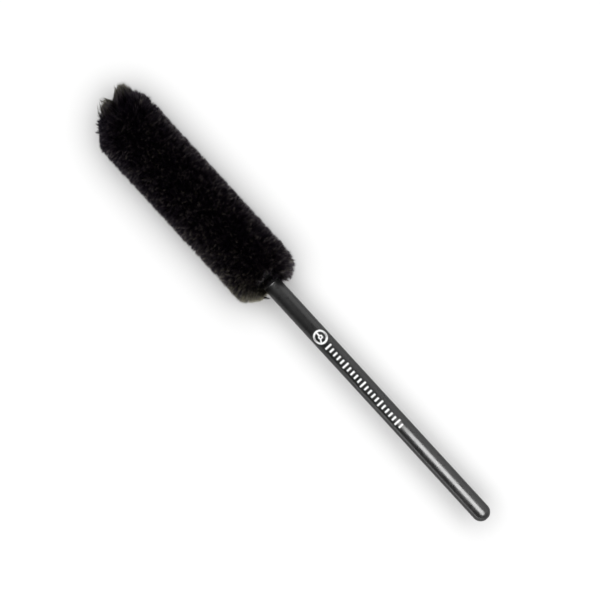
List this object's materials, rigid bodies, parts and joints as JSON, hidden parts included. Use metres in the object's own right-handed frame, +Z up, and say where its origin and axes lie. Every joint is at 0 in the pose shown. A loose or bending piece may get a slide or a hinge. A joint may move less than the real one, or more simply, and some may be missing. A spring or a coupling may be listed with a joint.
{
  "type": "wheel brush",
  "caption": "Straight rod-handled wheel brush with a cylindrical head of soft black pile wound in a helix round a rigid core.",
  "frame": {"origin": "centre of the small flat on the butt of the handle", "axes": "+X along the brush's axis from the butt to the tip of the head, +Z up as it lies, +Y completes the right-handed set"},
  "size_m": [0.4572, 0.0578, 0.0578],
  "materials": {
    "handle_plastic": "satin",
    "stem_resin": "satin",
    "cage_resin": "matte",
    "backing_weave": "matte",
    "binding_cord": "matte",
    "pile": "matte"
  },
  "bodies": {
    "root": {"handle": "handle_plastic", "stem": "stem_resin", "base_collar": "stem_resin", "cage_upper": "cage_resin", "cage_lower": "cage_resin", "tip_cap": "cage_resin", "tip_button": "stem_resin", "backing_tape": "backing_weave", "base_binding": "binding_cord", "pile_strip": "pile"}
  },
  "joints": []
}
